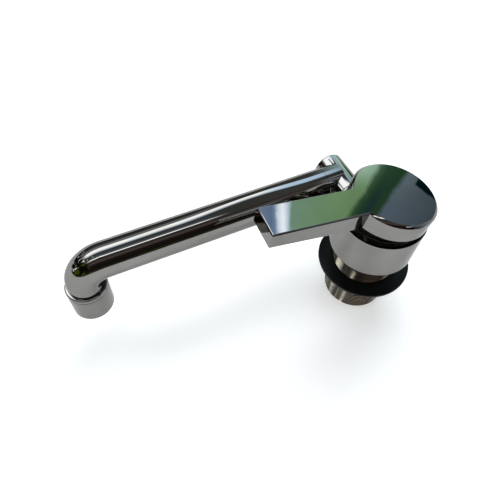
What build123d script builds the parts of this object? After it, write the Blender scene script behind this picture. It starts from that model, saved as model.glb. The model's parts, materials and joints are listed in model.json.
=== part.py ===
"""Basin mixer tap with a short round body, a flat lever handle and a spout that folds on a side arm.

Millimetres.  The origin is the middle of the seat on the deck, +Z is up, the folded spout
points towards -Y and the side arm towards -X.
"""
from build123d import *
import math
import os

# Clearances
running = 0.05
fixed = 0.02
touching = 0.0

# How far joined solids and cutting tools run past a surface
past = 1.0

# Body
body_radius = 22.25
body_height = 23.7
chamber_depth = 20.2
chamber_radius = 18.7
nut_thread_radius = 20.0
nut_thread_length = 4.5
plug_radius = 14.4
plug_depth = 9.0
edge_round = 0.6
seat_recess = 0.8
seat_recess_gap = 0.1

# Threaded shank and the ring that clamps the deck
shank_radius = 17.0
shank_length = 43.0
thread_pitch = 1.5
thread_depth = 0.7
crest_start = 0.4
crest_end = 0.6
thread_runout = 1.0
ring_radius = 25.2
ring_thickness = 1.8
ring_height = -17.6
ring_round = 0.5

# Water inlets
inlet_x = 6.5
inlet_y = -4.5
socket_radius = 5.0
socket_depth = 8.0
passage_radius = 2.5

# Side arm
arm_radius = 8.25
arm_drop = 12.7
boss_reach = 24.6
thrust_thickness = 0.8
thrust_step = 0.3
arm_reach = 49.0
arm_end_round = 0.9
cap_radius = 6.9
cap_thickness = 2.4
cap_slot_width = 1.2
cap_slot_length = 9.0
cap_slot_depth = 1.0
spigot_radius = 6.0
spigot_bore = 3.5
spigot_seat = 0.4
spigot_end_gap = 0.8
spigot_end_wall = 4.0
head_per_waist = 5.9
waist_depth = 1.0
cross_hole_radius = 2.2
clip_chamber = 1.9
clip_groove = 5.3
clip_thickness = 0.8
clip_rise = 0.6
clip_opening = 4.0
ring_section = 1.3
ring_relief = 0.01
groove_play = 0.4

# Spout
spout_offset = 0.1
spout_reach = 144.8
tube_radius = 9.2
tube_wall = 1.2
bend_radius = 12.2
stub_length = 10.8
stub_edge = 0.5
socket_overlap = 6.0
water_bore = 4.2

# Outlet with its jet regulator
outlet_drop = 14.6
outlet_length = 18.6
outlet_radius = 10.65
outlet_shoulder = 0.7
shoulder_step = 0.2
outlet_edge = 0.5
groove_drop = 2.3
groove_depth = 0.25
tube_overlap = 4.0
washer_height = 1.5
washer_width = 2.4
insert_radius = 9.0
insert_wall = 1.4
ledge_height = 1.0
ledge_width = 0.8
lip_height = 1.2
lip_radius = 7.9
plate_thickness = 1.5
plate_holes = 12
plate_hole = 0.6
plate_hole_circle = 4.6
screen_thickness = 0.6
screen_hole = 0.55
screen_step = 1.55
screen_rim = 1.2

# Cartridge
cartridge_radius = 17.5
base_height = 4.5
disc_thickness = 2.5
fixed_disc_radius = 15.4
moving_disc_radius = 12.4
pocket_y = 3.6
pocket_radius = 6.6
pocket_depth = 1.2
housing_bore = 15.5
carrier_height = 3.5
carrier_step = 0.4
rotor_gap = 0.2
rotor_radius = 11.9
rotor_flange = 13.5
flange_thickness = 1.1
rotor_slot = 11.4
roof_gap = 0.1
neck_radius = 12.9
neck_rise = 1.8
port_radius = 2.6
outlet_port_y = 8.5
channel_width = 5.2
channel_height = 2.2
channel_floor = 1.0
seal_outer = 4.1
seal_inner = 3.0
seal_height = 1.0
pivot_drop = 2.2
pin_radius = 1.5
pin_recess = 0.6
ball_sink = 2.0
ball_radius = 1.9
ball_neck = 0.3
stem_width = 7.0
stem_edge = 0.4
stem_drop = 3.5
housing_ring_drop = 2.8
housing_ring_section = 1.8
housing_ring_half = 1.0

# Cover between the body and the handle
cover_inset = 1.4
cover_wall = 1.7
cover_roof = 4.9
cover_rise = 3.8
cover_wall_height = 1.6
cover_edge = 0.3
cover_shoulder = 3.0
cover_fall = 0.7
cover_lip = 1.1
cover_skin = 0.4
nut_collar_height = 1.2
nut_slots = 4
nut_slot_width = 3.0
nut_slot_length = 2.2

# Handle
handle_angle = -2.4
handle_lift = 8.4
handle_radius = 21.3
handle_gap = 3.5
cap_height = 10.15
lever_reach = 69.8
lever_width = 16.3
lever_tip_rise = 1.95
lever_root = 28.6
handle_wall = 1.5
recess_depth = 5.8
hub_radius = 7.0
hub_recess = 2.4
rib_width = 8.0
stem_reach = 7.0
stem_end_gap = 0.2
screw_radius = 2.0
screw_length = 8.0
screw_rise = 4.2
key_radius = 1.1
key_depth = 3.0
rim_round = 0.8
far_corner_round = 2.5
near_corner_round = 0.9

# Heights and distances that follow from the sizes above
body_floor = body_height - chamber_depth
nut_seat = body_height - nut_thread_length
cover_top = body_height + cover_rise
cover_radius = handle_radius - cover_inset
cover_opening = cover_radius - cover_roof
nut_collar_radius = cover_radius - cover_wall
recess_radius = handle_radius - handle_wall
neck_top = body_height + neck_rise
pivot_height = body_height - pivot_drop
handle_bottom = body_height + handle_gap
handle_top = handle_bottom + cap_height
recess_top = handle_bottom + recess_depth
hub_bottom = handle_bottom + hub_recess
stem_top = handle_bottom + stem_reach
screw_height = handle_bottom + screw_rise
base_top = body_floor + base_height
fixed_top = base_top + disc_thickness
moving_top = fixed_top + disc_thickness
carrier_top = moving_top + carrier_height
ball_height = moving_top + ball_sink
disc_shift = (pivot_height - ball_height) * math.sin(math.radians(handle_lift))
head_start = boss_reach + thrust_thickness
spigot_reach = arm_reach - cap_thickness - spigot_end_gap
chamber_start = arm_reach - cap_thickness - clip_chamber
spout_x = -(head_start + arm_reach) / 2 - spout_offset
waist_half = (arm_reach - head_start) / head_per_waist
waist_low = -spout_x - waist_half
waist_high = -spout_x + waist_half
arm_ring_inner = (head_start + waist_low) / 2
arm_ring_outer = (waist_high + chamber_start) / 2
arm_height = body_height - arm_drop
outlet_top = arm_height - outlet_drop
tube_end = outlet_top - tube_overlap
outlet_bottom = outlet_top - outlet_length

os.makedirs("parts", exist_ok=True)


def turned(points):
    """A solid turned about Z from (radius, height) corners."""
    corners = [(radius, 0, height) for radius, height in points]
    profile = make_face(Polyline(*corners, close=True))
    return revolve(profile, Axis.Z)


def tube(outer, inner, low, high):
    """A ring or pipe about Z between two heights."""
    return turned([(inner, low), (outer, low), (outer, high), (inner, high)])


def rod(radius, low, high):
    """A round bar about Z between two heights."""
    return Pos(0, 0, (low + high) / 2) * Cylinder(radius, high - low)


def along_arm(shape):
    """Lay a shape made about Z along the side arm, with its height as the distance from the body's axis."""
    return Pos(0, 0, arm_height) * Rot(0, -90, 0) * shape


def along_spout(shape):
    """Lay a shape made about Z along the spout, with its height as the distance from the arm's axis."""
    return Pos(spout_x, 0, arm_height) * Rot(90, 0, 0) * shape


def at_outlet(shape):
    """Move a shape made about Z under the end of the spout."""
    return Pos(spout_x, -spout_reach, 0) * shape


def with_handle(shape):
    """Turn a shape made for a lever towards -Y to where the lever points."""
    return Rot(0, 0, handle_angle) * shape


def with_lever(shape):
    """Lift a shape made for a level lever about the pivot pin, then turn it to where the lever points."""
    lift = Pos(0, 0, pivot_height) * Rot(-handle_lift, 0, 0) * Pos(0, 0, -pivot_height)
    return with_handle(lift * shape)


def with_disc(shape):
    """Shift a shape made on the body's axis by what the lifted stem pushes the moving disc."""
    return with_handle(Pos(0, -disc_shift, 0) * shape)


def crossbar(radius, length, height):
    """A round bar along X whose middle is on the body's axis."""
    return Pos(0, 0, height) * Rot(0, 90, 0) * Cylinder(radius, length)


def save(name, shape):
    """Write one piece to its own file."""
    export_step(shape, "parts/" + name + ".step")


# The body is a round cup with a threaded mouth, a plug below and a boss for the arm
body = rod(body_radius, 0, body_height)
body = chamfer(body.edges().group_by(Axis.Z)[-1], edge_round)
body = chamfer(body.edges().group_by(Axis.Z)[0], edge_round)
boss = along_arm(rod(arm_radius, chamber_radius + past, boss_reach))
body = body + boss + rod(plug_radius, -plug_depth, past)
body = body - rod(chamber_radius, body_floor, body_height)
body = body - rod(nut_thread_radius, nut_seat, body_height + past)
body = body - along_arm(rod(spigot_radius, chamber_radius - past, boss_reach + past))
body = body - tube(shank_radius + seat_recess_gap, plug_radius, -past, seat_recess)
for side in (-1, 1):
    place = Pos(side * inlet_x, inlet_y, 0)
    body = body - place * rod(socket_radius, -plug_depth - past, -plug_depth + socket_depth)
    body = body - place * rod(passage_radius, -plug_depth, body_floor + past)
save("body_shell", body)

# The shank screws over the plug and carries a fine thread outside
thread_root = shank_radius - thread_depth
thread_count = int((shank_length - 2 * thread_runout) / thread_pitch)
shank_points = [(plug_radius + fixed, seat_recess - touching), (plug_radius + fixed, -shank_length)]
shank_points.append((thread_root, -shank_length))
for turn in range(thread_count):
    foot = -shank_length + thread_runout + turn * thread_pitch
    shank_points.append((thread_root, foot))
    shank_points.append((shank_radius, foot + thread_pitch * crest_start))
    shank_points.append((shank_radius, foot + thread_pitch * crest_end))
shank_points.append((thread_root, -thread_runout))
shank_points.append((thread_root, seat_recess - touching))
shank = turned(shank_points)
save("threaded_shank", shank)

clamp_ring = tube(ring_radius, shank_radius + running, ring_height, ring_height + ring_thickness)
clamp_ring = fillet(clamp_ring.edges().filter_by(GeomType.CIRCLE).sort_by(SortBy.RADIUS)[-2:], ring_round)
save("clamp_ring", clamp_ring)

# The hollow spigot screws into the boss and lets water out through four cross holes
groove_half = (ring_section + groove_play) / 2
groove_root = spigot_radius + running - ring_section
spigot = rod(spigot_radius - fixed, chamber_radius + spigot_seat, spigot_reach)
spigot = spigot - rod(spigot_bore, 0, spigot_reach - spigot_end_wall)
for distance in (arm_ring_inner, arm_ring_outer):
    spigot = spigot - tube(spigot_radius + past, groove_root, distance - groove_half, distance + groove_half)
clip_low = chamber_start + running
clip_high = clip_low + clip_thickness
spigot = spigot - tube(spigot_radius + past, clip_groove, clip_low, clip_high)
spigot = spigot - tube(spigot_radius + past, spigot_radius - waist_depth, waist_low, waist_high)
for turn in (0, 90):
    cross_hole = Rot(0, 90, turn) * Cylinder(cross_hole_radius, 3 * spigot_radius)
    spigot = spigot - Pos(0, 0, -spout_x) * cross_hole
save("arm_spigot", along_arm(spigot))

arm_rings = Part()
ring_centre = spigot_radius + running - ring_section / 2
for distance in (arm_ring_inner, arm_ring_outer):
    arm_rings = arm_rings + Pos(0, 0, distance) * Torus(ring_centre, ring_section / 2 - ring_relief)
save("arm_o_rings", along_arm(arm_rings))

thrust_washer = tube(arm_radius - thrust_step, spigot_radius + running, boss_reach, head_start)
save("arm_thrust_washer", along_arm(thrust_washer))

clip = tube(spigot_radius + clip_rise, clip_groove + fixed, clip_low, clip_high)
clip = clip - Pos(spigot_radius, 0, clip_low) * Box(spigot_radius, clip_opening, 3 * clip_thickness)
save("arm_clip", along_arm(clip))

# The swivel head turns on the spigot and holds the end of the spout tube
head = rod(arm_radius, head_start, arm_reach)
head = fillet(head.edges().group_by(Axis.Z)[-1], arm_end_round)
head = along_arm(head)
stub = rod(tube_radius, 0, stub_length)
stub = chamfer(stub.edges().group_by(Axis.Z)[0], stub_edge)
stub = stub + rod(tube_radius - tube_wall - fixed, stub_length - past, stub_length + socket_overlap)
head = head + along_spout(stub)
head = head - along_arm(rod(spigot_radius + running, head_start - past, chamber_start))
head = head - along_arm(rod(cap_radius, chamber_start, arm_reach + past))
head = head - along_spout(rod(water_bore, 0, stub_length + socket_overlap + past))
save("swivel_head", head)

end_cap = rod(cap_radius - fixed, arm_reach - cap_thickness, arm_reach)
end_cap = end_cap - Pos(0, 0, arm_reach) * Box(cap_slot_width, cap_slot_length, 2 * cap_slot_depth)
save("arm_end_cap", along_arm(end_cap))

# The spout tube runs out level and bends straight down
bend_start = -(spout_reach - bend_radius)
path_side = math.sqrt(0.5) * bend_radius
path_start = (spout_x, -stub_length, arm_height)
path_bend = (spout_x, bend_start, arm_height)
path_middle = (spout_x, bend_start - path_side, arm_height - bend_radius + path_side)
path_drop = (spout_x, -spout_reach, arm_height - bend_radius)
path_end = (spout_x, -spout_reach, tube_end)
path = Wire([Line(path_start, path_bend), ThreePointArc(path_bend, path_middle, path_drop), Line(path_drop, path_end)])
start_plane = Plane(origin=path_start, z_dir=(0, -1, 0))
spout = sweep(start_plane * Circle(tube_radius), path=path)
spout = spout - sweep(start_plane * Circle(tube_radius - tube_wall), path=path)
save("spout_tube", spout)

# The outlet housing screws over the end of the tube
housing_inner = tube_radius + fixed
groove_height = outlet_top - groove_drop
housing_points = [(housing_inner, outlet_top), (outlet_radius - outlet_shoulder, outlet_top)]
housing_points.append((outlet_radius - shoulder_step, outlet_top - shoulder_step))
housing_points.append((outlet_radius, outlet_top - outlet_shoulder))
housing_points.append((outlet_radius, groove_height + groove_depth))
housing_points.append((outlet_radius - groove_depth, groove_height))
housing_points.append((outlet_radius, groove_height - groove_depth))
housing_points.append((outlet_radius, outlet_bottom + outlet_edge))
housing_points.append((outlet_radius - outlet_edge, outlet_bottom))
housing_points.append((lip_radius, outlet_bottom))
housing_points.append((lip_radius, outlet_bottom + lip_height))
housing_points.append((housing_inner, outlet_bottom + lip_height))
outlet_housing = turned(housing_points)
save("outlet_housing", at_outlet(outlet_housing))

washer_low = tube_end - washer_height
outlet_washer = tube(insert_radius, insert_radius - washer_width, washer_low, tube_end)
save("outlet_washer", at_outlet(outlet_washer))

insert_low = outlet_bottom + lip_height
insert_bore = insert_radius - insert_wall
ledge_outer = insert_radius - insert_wall / 2
ledge_inner = insert_bore - ledge_width
plate_low = washer_low - plate_thickness
insert = tube(insert_radius, insert_bore, insert_low, washer_low)
insert = insert + tube(ledge_outer, ledge_inner, insert_low, insert_low + ledge_height)
insert = insert + tube(ledge_outer, ledge_inner, plate_low - ledge_height, plate_low)
save("outlet_insert", at_outlet(insert))

plate = rod(insert_bore - fixed, plate_low, washer_low)
for turn in range(plate_holes):
    hole = rod(plate_hole, plate_low - past, washer_low + past)
    plate = plate - Rot(0, 0, turn * 360 / plate_holes) * Pos(plate_hole_circle, 0, 0) * hole
save("outlet_flow_plate", at_outlet(plate))

screen_low = insert_low + ledge_height
screen_shape = Circle(insert_bore - fixed)
screen_reach = int(insert_bore / screen_step)
for row in range(-screen_reach, screen_reach + 1):
    for column in range(-screen_reach, screen_reach + 1):
        if math.hypot(row, column) * screen_step < insert_bore - screen_rim:
            screen_shape = screen_shape - Pos(row * screen_step, column * screen_step) * Circle(screen_hole)
screen = Pos(0, 0, screen_low) * extrude(screen_shape, screen_thickness)
save("outlet_screen", at_outlet(screen))

# The cartridge base has two inlet ports and a channel that lets mixed water out at its side
port_places = [(-inlet_x, inlet_y), (inlet_x, inlet_y), (0, outlet_port_y)]
inlet_ports = port_places[:2]
base = rod(cartridge_radius, body_floor, base_top)
for x, y in inlet_ports:
    base = base - Pos(x, y, 0) * rod(port_radius, 0, base_top + past)
    base = base - Pos(x, y, 0) * rod(seal_outer, 0, body_floor + seal_height)
for x, y in port_places:
    base = base - Pos(x, y, 0) * rod(seal_outer, base_top - seal_height, base_top + past)
channel_low = body_floor + channel_floor
channel_middle = channel_low + channel_height / 2
base = base - Pos(0, outlet_port_y, 0) * rod(port_radius, channel_low, base_top)
channel = Box(channel_width, cartridge_radius, channel_height)
base = base - Pos(0, outlet_port_y + cartridge_radius / 2, channel_middle) * channel
save("cartridge_base", base)

port_seals = Part()
for x, y in inlet_ports:
    port_seals = port_seals + Pos(x, y, 0) * tube(seal_outer - fixed, seal_inner, body_floor, body_floor + seal_height)
save("port_seals", port_seals)

disc_seals = Part()
for x, y in port_places:
    disc_seals = disc_seals + Pos(x, y, 0) * tube(seal_outer - fixed, seal_inner, base_top - seal_height, base_top)
save("disc_seals", disc_seals)

# Two ceramic discs meter the water
fixed_disc = rod(fixed_disc_radius, base_top, fixed_top)
for x, y in port_places:
    fixed_disc = fixed_disc - Pos(x, y, 0) * rod(port_radius, 0, fixed_top + past)
save("fixed_ceramic_disc", fixed_disc)

moving_disc = rod(moving_disc_radius, fixed_top, moving_top)
moving_disc = moving_disc - Pos(0, pocket_y, 0) * rod(pocket_radius, 0, fixed_top + pocket_depth)
save("moving_ceramic_disc", with_disc(moving_disc))

carrier = rod(moving_disc_radius - carrier_step, moving_top, carrier_top)
carrier = carrier - rod(ball_radius + running, moving_top, carrier_top)
save("disc_carrier", with_disc(carrier))

rotor_bottom = carrier_top + rotor_gap
flange_top = rotor_bottom + flange_thickness
rotor = rod(rotor_flange, rotor_bottom, flange_top) + rod(rotor_radius, rotor_bottom, neck_top)
rotor = rotor - Pos(0, 0, neck_top) * Box(stem_width + 2 * running, rotor_slot, 2 * neck_top)
rotor = rotor - crossbar(pin_radius + fixed, 3 * rotor_radius, pivot_height)
save("cartridge_rotor", with_handle(rotor))

pin = crossbar(pin_radius, 2 * (rotor_radius - pin_recess), pivot_height)
save("pivot_pin", with_handle(pin))

stem_foot = pivot_height - stem_drop
stem = Pos(0, 0, (stem_foot + stem_top) / 2) * Box(stem_width, stem_width, stem_top - stem_foot)
stem = chamfer(stem.edges().filter_by(Axis.Z), stem_edge)
stem = stem + rod(ball_radius - ball_neck, ball_height, stem_foot + ball_neck)
stem = stem + Pos(0, 0, ball_height) * Sphere(ball_radius)
stem = stem - crossbar(pin_radius + running, 3 * stem_width, pivot_height)
save("lever_stem", with_lever(stem))

# The cartridge housing guides the rotor and presses on the base
roof = flange_top + roof_gap
ring_seat = nut_seat - housing_ring_drop
seat_root = chamber_radius - housing_ring_section
cartridge_points = [(housing_bore, base_top), (cartridge_radius, base_top)]
cartridge_points.append((cartridge_radius, ring_seat - housing_ring_half))
cartridge_points.append((seat_root, ring_seat - housing_ring_half))
cartridge_points.append((seat_root, ring_seat + housing_ring_half))
cartridge_points.append((cartridge_radius, ring_seat + housing_ring_half))
cartridge_points.append((cartridge_radius, nut_seat))
cartridge_points.append((neck_radius, nut_seat))
cartridge_points.append((neck_radius, neck_top))
cartridge_points.append((rotor_radius + running, neck_top))
cartridge_points.append((rotor_radius + running, roof))
cartridge_points.append((housing_bore, roof))
cartridge_housing = turned(cartridge_points)
save("cartridge_housing", cartridge_housing)

ring_half = housing_ring_section / 2
housing_ring = Pos(0, 0, ring_seat) * Torus(chamber_radius - ring_half, ring_half - ring_relief)
save("cartridge_o_ring", housing_ring)

# The nut holds the cartridge down and carries the cover
nut_top = body_height + nut_collar_height
nut = tube(nut_thread_radius - fixed, neck_radius + running, nut_seat, body_height)
nut = nut + tube(nut_collar_radius, neck_radius + running, body_height, nut_top)
for turn in range(nut_slots):
    slot = Box(2 * nut_slot_length, nut_slot_width, 2 * nut_collar_height)
    nut = nut - Rot(0, 0, turn * 360 / nut_slots) * Pos(nut_collar_radius, 0, nut_top) * slot
save("cartridge_nut", nut)

cover_side = body_height + cover_wall_height
cover_points = [(nut_collar_radius + fixed, body_height), (cover_radius, body_height)]
cover_points.append((cover_radius, cover_side))
cover_points.append((cover_radius - cover_edge, cover_side + cover_edge))
cover_points.append((cover_radius - cover_shoulder, cover_top - cover_fall))
cover_points.append((cover_opening, cover_top))
cover_points.append((cover_opening, cover_top - cover_lip))
cover_points.append((nut_collar_radius + fixed, nut_top + cover_skin))
cover = turned(cover_points)
save("cover_ring", cover)

# The handle is one piece: a round cap and a flat lever whose underside rises towards its tip
side_profile = [(handle_radius + past, handle_bottom), (handle_radius + past, handle_top)]
side_profile.append((-lever_reach, handle_top))
side_profile.append((-lever_reach, handle_bottom + lever_tip_rise))
side_profile.append((-lever_root, handle_bottom))
side_corners = [(0, y, z) for y, z in side_profile]
side_face = make_face(Polyline(*side_corners, close=True))
wedge = extrude(side_face, 2 * handle_radius, dir=(1, 0, 0), both=True)
plan = rod(handle_radius, 0, 2 * handle_top)
plan = plan + Pos(0, -lever_reach / 2, handle_top) * Box(lever_width, lever_reach, 2 * handle_top)
corner_y = -math.sqrt(handle_radius**2 - (lever_width / 2) ** 2)
for side, corner_round in ((-1, far_corner_round), (1, near_corner_round)):
    corner = Vector(side * lever_width / 2, corner_y, handle_top)
    corner_edge = plan.edges().filter_by(Axis.Z).sort_by_distance(corner)[0]
    plan = fillet(corner_edge, corner_round)
handle = wedge & plan
handle = fillet(handle.faces().sort_by(Axis.Z)[-1].edges(), rim_round)
cavity = rod(recess_radius, handle_bottom - past, recess_top)
cavity = cavity - rod(hub_radius, hub_bottom, recess_top + past)
rib = Box(recess_radius + 2 * past, rib_width, 2 * recess_depth)
cavity = cavity - Pos(-recess_radius / 2, 0, hub_bottom + recess_depth) * rib
handle = handle - cavity
socket_width = stem_width + 2 * running
socket_top = stem_top + stem_end_gap
socket_low = hub_bottom - past
socket = Box(socket_width, socket_width, socket_top - socket_low)
handle = handle - Pos(0, 0, (socket_top + socket_low) / 2) * socket
screw_hole = rod(screw_radius + fixed, 0, handle_radius + past)
handle = handle - Pos(0, 0, screw_height) * Rot(0, -90, 0) * screw_hole
save("handle", with_lever(handle))

screw_start = stem_width / 2 + touching
screw_end = screw_start + screw_length
screw = rod(screw_radius, screw_start, screw_end)
screw = screw - extrude(Pos(0, 0, screw_end) * RegularPolygon(key_radius, 6), -key_depth)
save("grub_screw", with_lever(Pos(0, 0, screw_height) * Rot(0, -90, 0) * screw))
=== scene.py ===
"""Low basin mixer tap with a flat lever handle and a spout that folds on its side arm.

Metres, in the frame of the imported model: the origin is the middle of the seat on the deck,
+Z is up, the folded spout points towards -Y and the side arm towards -X.
"""

import json
import logging
import math
from dataclasses import dataclass
from enum import Enum
from typing import Callable, Sequence

import bpy
from mathutils import Matrix, Vector

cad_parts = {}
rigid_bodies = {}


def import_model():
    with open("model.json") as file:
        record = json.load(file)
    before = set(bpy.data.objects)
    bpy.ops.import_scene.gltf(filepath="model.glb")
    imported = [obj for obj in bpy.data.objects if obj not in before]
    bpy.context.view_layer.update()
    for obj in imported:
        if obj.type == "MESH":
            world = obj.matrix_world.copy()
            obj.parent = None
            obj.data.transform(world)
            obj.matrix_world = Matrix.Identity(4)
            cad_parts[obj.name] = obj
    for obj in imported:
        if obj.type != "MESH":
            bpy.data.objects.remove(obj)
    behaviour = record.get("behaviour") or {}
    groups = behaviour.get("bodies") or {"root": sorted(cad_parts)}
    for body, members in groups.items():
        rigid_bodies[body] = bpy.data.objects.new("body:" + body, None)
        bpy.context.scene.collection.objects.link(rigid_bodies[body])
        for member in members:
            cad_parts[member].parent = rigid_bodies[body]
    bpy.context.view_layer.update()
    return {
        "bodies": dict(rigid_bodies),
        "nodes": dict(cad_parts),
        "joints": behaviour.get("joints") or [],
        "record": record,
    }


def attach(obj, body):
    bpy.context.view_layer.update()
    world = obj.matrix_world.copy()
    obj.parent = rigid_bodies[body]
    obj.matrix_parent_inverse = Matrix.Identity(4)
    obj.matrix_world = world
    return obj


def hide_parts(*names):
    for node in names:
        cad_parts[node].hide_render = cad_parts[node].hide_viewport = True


LOG = logging.getLogger("tap")
MM = 0.001
QUARTER = math.pi / 2
# How far a cutting tool reaches past what it cuts.
PAST = 1.0 * MM

Point = tuple[float, float]
Place = tuple[float, float, float]
Colour = tuple[float, float, float]
Stops = Sequence[tuple[float, Colour]]
Piece = bpy.types.Object
Socket = bpy.types.NodeSocket

# A small rounded edge as shares of its size: how far in and how far up each corner lies.
SOFT_EDGE = ((1.0, 0.0), (0.3, 0.15), (0.08, 0.45), (0.0, 1.0))


class Facing(Enum):
    """The turn that lays a piece made about Z along the arm or the spout."""

    ALONG_ARM = (0.0, -QUARTER, 0.0)
    ALONG_SPOUT = (QUARTER, 0.0, 0.0)


@dataclass(frozen=True)
class Layout:
    """Where the tap's main axes lie and what more than one piece shares, in metres."""

    arm_height: float = 11.0 * MM
    arm_radius: float = 8.25 * MM
    spout_x: float = -37.3 * MM
    spout_reach: float = 144.8 * MM
    tube_radius: float = 9.2 * MM
    tube_start: float = 10.8 * MM
    seam_edge: float = 0.12 * MM
    handle_turn: float = math.radians(-2.4)
    handle_lift: float = math.radians(8.4)
    pivot_height: float = 21.5 * MM
    shank_foot: float = -43.0 * MM


def arc(centre: Point, radius: float, start: float, sweep: float, steps: int) -> list[Point]:
    """Points along a part of a circle.

    Args:
        centre: the circle's middle.
        radius: its radius.
        start: the angle of the first point, in radians.
        sweep: the angle from the first point to the last.
        steps: the number of stretches between them.

    Returns:
        The points, with both ends.
    """
    angles = [start + sweep * step / steps for step in range(steps + 1)]
    return [(centre[0] + radius * math.cos(angle), centre[1] + radius * math.sin(angle)) for angle in angles]


class Bench:
    """The tools that every piece is made with."""

    @staticmethod
    def clear() -> None:
        """Leave edit mode and deselect everything."""
        if bpy.context.object is not None and bpy.context.object.mode != "OBJECT":
            bpy.ops.object.mode_set(mode="OBJECT")
        bpy.ops.object.select_all(action="DESELECT")

    @staticmethod
    def hold(piece: Piece) -> None:
        """Select one object alone and make it active.

        Args:
            piece: the object.
        """
        Bench.clear()
        piece.select_set(True)
        bpy.context.view_layer.objects.active = piece

    @staticmethod
    def name(label: str) -> Piece:
        """Name the object that was just added.

        Args:
            label: the piece's name.

        Returns:
            The object.
        """
        piece = bpy.context.object
        piece.name = label
        piece.data.name = label
        return piece

    @staticmethod
    def settle(piece: Piece, place: Place | None = None, turn: Place | None = None) -> None:
        """Move and turn an object, and put its place and turn into its mesh.

        Args:
            piece: the object.
            place: where it goes, or None to leave it there.
            turn: its turn about X, Y and Z, or None to leave it so.
        """
        if place is not None:
            piece.location = place
        if turn is not None:
            piece.rotation_euler = turn
        Bench.hold(piece)
        bpy.ops.object.transform_apply(location=True, rotation=True, scale=True)

    @staticmethod
    def edit(piece: Piece, choose: Callable[[bpy.types.MeshVertex], bool] | None = None) -> None:
        """Enter edit mode with the vertices that pass a test selected.

        Args:
            piece: the object to edit.
            choose: says whether a vertex is selected; all are when it is left out.
        """
        Bench.hold(piece)
        bpy.ops.object.mode_set(mode="EDIT")
        bpy.ops.mesh.select_mode(type="VERT")
        bpy.ops.mesh.select_all(action="SELECT" if choose is None else "DESELECT")
        if choose is not None:
            bpy.ops.object.mode_set(mode="OBJECT")
            for vertex in piece.data.vertices:
                vertex.select = choose(vertex)
            bpy.ops.object.mode_set(mode="EDIT")

    @staticmethod
    def face_outwards() -> None:
        """Select all that is being edited and point its faces outwards."""
        bpy.ops.mesh.select_all(action="SELECT")
        bpy.ops.mesh.normals_make_consistent(inside=False)

    @staticmethod
    def stretch(move: Place) -> None:
        """Draw out the selected edges into new faces."""
        bpy.ops.mesh.extrude_edges_move(TRANSFORM_OT_translate={"value": move})

    @staticmethod
    def apply(piece: Piece, kind: str, **settings: object) -> None:
        """Add a modifier to a piece, set it and apply it.

        Args:
            piece: the object.
            kind: the modifier's type.
            **settings: the modifier's properties.
        """
        Bench.hold(piece)
        bpy.ops.object.modifier_add(type=kind)
        step = piece.modifiers[-1]
        for key, value in settings.items():
            setattr(step, key, value)
        bpy.ops.object.modifier_apply(modifier=step.name)

    @staticmethod
    def turn(label: str, profile: Sequence[Point], sides: int = 160, ring: bool = True) -> Piece:
        """Make a turned piece about Z from a profile, loop by loop.

        Args:
            label: the piece's name.
            profile: (radius, height) corners in metres, in order.
            sides: the number of faces round the axis.
            ring: True joins the last loop to the first, False caps both ends.

        Returns:
            The turned object.
        """
        Bench.clear()
        radius, height = profile[0]
        bpy.ops.mesh.primitive_circle_add(vertices=sides, radius=radius, location=(0, 0, 0))
        piece = Bench.name(label)
        Bench.edit(piece)
        bpy.ops.transform.translate(value=(0, 0, height))
        for new_radius, new_height in profile[1:]:
            Bench.stretch((0, 0, new_height - height))
            scale = new_radius / radius
            bpy.ops.transform.resize(value=(scale, scale, 1), center_override=(0, 0, new_height))
            radius, height = new_radius, new_height
        bpy.ops.mesh.select_all(action="DESELECT")
        bpy.ops.mesh.select_non_manifold(extend=False)
        if ring:
            bpy.ops.mesh.bridge_edge_loops()
        else:
            bpy.ops.mesh.fill_holes(sides=0)
        Bench.face_outwards()
        bpy.ops.object.mode_set(mode="OBJECT")
        return piece

    @staticmethod
    def bar(label: str, radius: float, low: float, high: float, sides: int = 128) -> Piece:
        """A round bar about Z between two heights."""
        return Bench.turn(label, [(radius, low), (radius, high)], sides, ring=False)

    @staticmethod
    def block(label: str, low: Place, high: Place) -> Piece:
        """A square block between two corners, as a tool.

        Args:
            label: the block's name.
            low: its lowest corner.
            high: its highest corner.

        Returns:
            The block.
        """
        Bench.clear()
        middle = [(a + b) / 2 for a, b in zip(low, high)]
        bpy.ops.mesh.primitive_cube_add(size=1, location=middle)
        piece = Bench.name(label)
        piece.scale = [b - a for a, b in zip(low, high)]
        Bench.settle(piece)
        return piece

    @staticmethod
    def face(piece: Piece, facing: Facing, layout: Layout) -> Piece:
        """Lay a piece made about Z along the arm or the spout.

        Args:
            piece: the object; its heights become distances from the body's or the arm's axis.
            facing: the way it lies.
            layout: the tap's main axes.

        Returns:
            The same object.
        """
        x = layout.spout_x if facing is Facing.ALONG_SPOUT else 0.0
        Bench.settle(piece, (x, 0, layout.arm_height), facing.value)
        return piece

    @staticmethod
    def cut(piece: Piece, tool: Piece, kind: str = "DIFFERENCE") -> None:
        """Cut, join or intersect a piece with a tool, and take the tool away.

        Args:
            piece: the object that changes.
            tool: the object that it is cut or joined with.
            kind: DIFFERENCE, UNION or INTERSECT.
        """
        Bench.apply(piece, "BOOLEAN", operation=kind, solver="EXACT", object=tool)
        Bench.hold(tool)
        bpy.ops.object.delete()

    @staticmethod
    def soften(piece: Piece, width: float, steps: int = 3, angle: float = 30.0) -> None:
        """Round the edges of a piece.

        Args:
            piece: the object.
            width: the width of the rounding, in metres.
            steps: the number of faces across it.
            angle: the edge angle above which it is rounded, in degrees.
        """
        limit = math.radians(angle)
        Bench.apply(piece, "BEVEL", width=width, segments=steps, limit_method="ANGLE", angle_limit=limit)

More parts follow.
